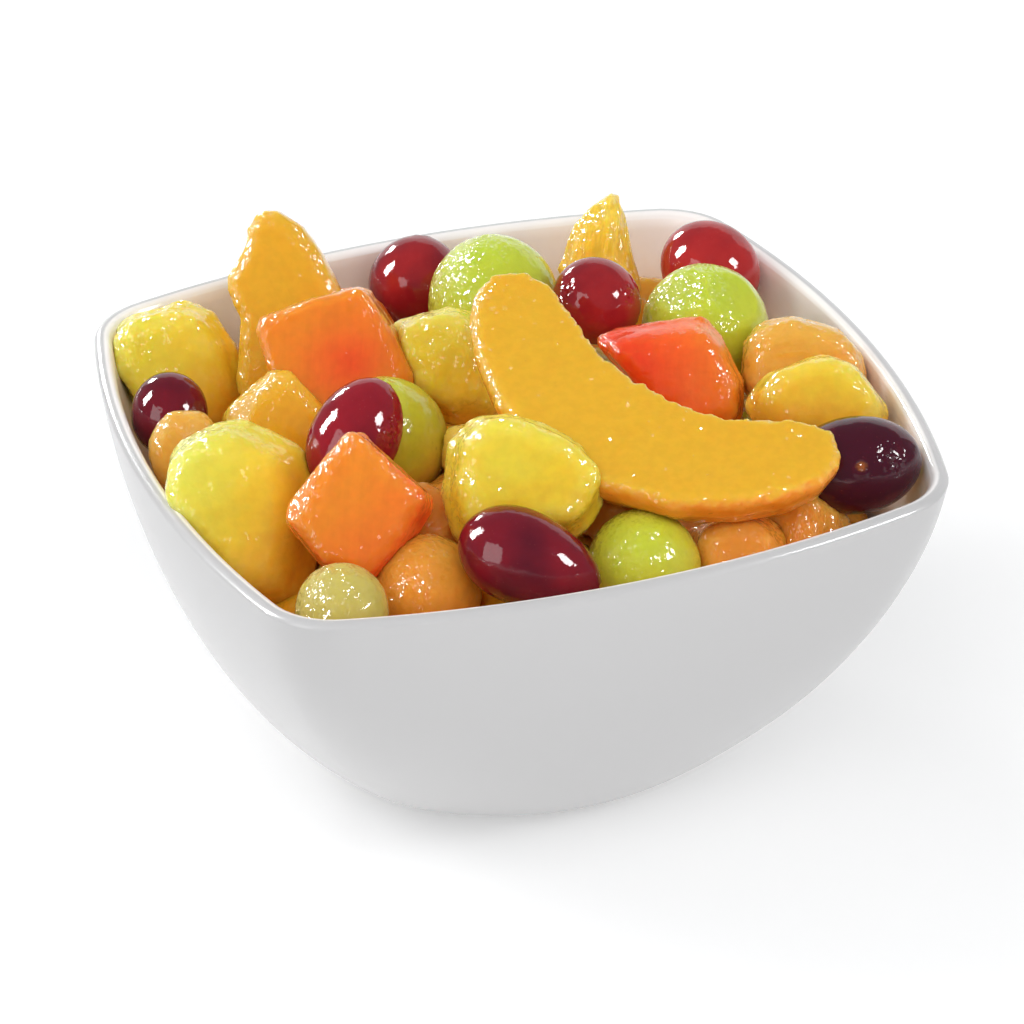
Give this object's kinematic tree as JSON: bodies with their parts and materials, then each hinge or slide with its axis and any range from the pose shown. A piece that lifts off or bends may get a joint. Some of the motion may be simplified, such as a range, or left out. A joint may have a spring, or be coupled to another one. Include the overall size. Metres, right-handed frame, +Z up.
{
  "type": "fruit salad in a bowl",
  "caption": "Cut fruit, melon balls and grapes heaped in a rounded square white bowl; a serving of fruit salad that stands on a table.",
  "frame": {"origin": "centre of the bowl's foot, on the surface that the bowl stands on", "axes": "+Z up, through the middle of the bowl; X along the bowl's front side, -Y towards the front side of the bowl"},
  "size_m": [0.15, 0.15, 0.0963],
  "materials": {
    "white_glaze": "smooth white glaze",
    "fruit_mixture": "wet small cut fruit in juice",
    "grape_skin": "dark red glossy skin",
    "green_melon": "wet grainy green flesh",
    "orange_melon": "wet grainy orange flesh",
    "papaya_flesh": "wet smooth red orange flesh",
    "pineapple_flesh": "wet fibrous yellow flesh",
    "mango_flesh": "wet smooth yellow flesh",
    "peach_flesh": "wet smooth golden flesh"
  },
  "bodies": {
    "root": {"bowl": "white_glaze", "cantaloupe_ball_front": "orange_melon", "cantaloupe_chip_front": "orange_melon", "cantaloupe_chip_left": "orange_melon", "cantaloupe_chip_right": "orange_melon", "cantaloupe_chunk_right": "orange_melon", "cantaloupe_cube_back": "orange_melon", "fruit_bed": "fruit_mixture", "grape_back_centre": "grape_skin", "grape_back_left": "grape_skin", "grape_back_right": "grape_skin", "grape_centre": "grape_skin", "grape_front": "grape_skin", "grape_left": "grape_skin", "grape_right": "grape_skin", "mandarin_slice_back": "peach_flesh", "mango_chip_right": "mango_flesh", "mango_left": "mango_flesh", "melon_ball_back": "green_melon", "melon_ball_centre": "green_melon", "melon_ball_front": "green_melon", "melon_ball_pale": "green_melon", "melon_ball_right": "green_melon", "melon_chip_centre": "green_melon", "melon_chip_shaded": "green_melon", "papaya_chip_back": "papaya_flesh", "papaya_cube_front": "papaya_flesh", "papaya_wedge_left": "papaya_flesh", "papaya_wedge_right": "papaya_flesh", "peach_chip_back": "peach_flesh", "peach_chunk_left": "peach_flesh", "peach_slice_long": "peach_flesh", "peach_slice_tall": "peach_flesh", "pineapple_centre": "pineapple_flesh", "pineapple_front": "pineapple_flesh", "pineapple_left": "pineapple_flesh", "pineapple_right": "pineapple_flesh"}
  },
  "joints": []
}
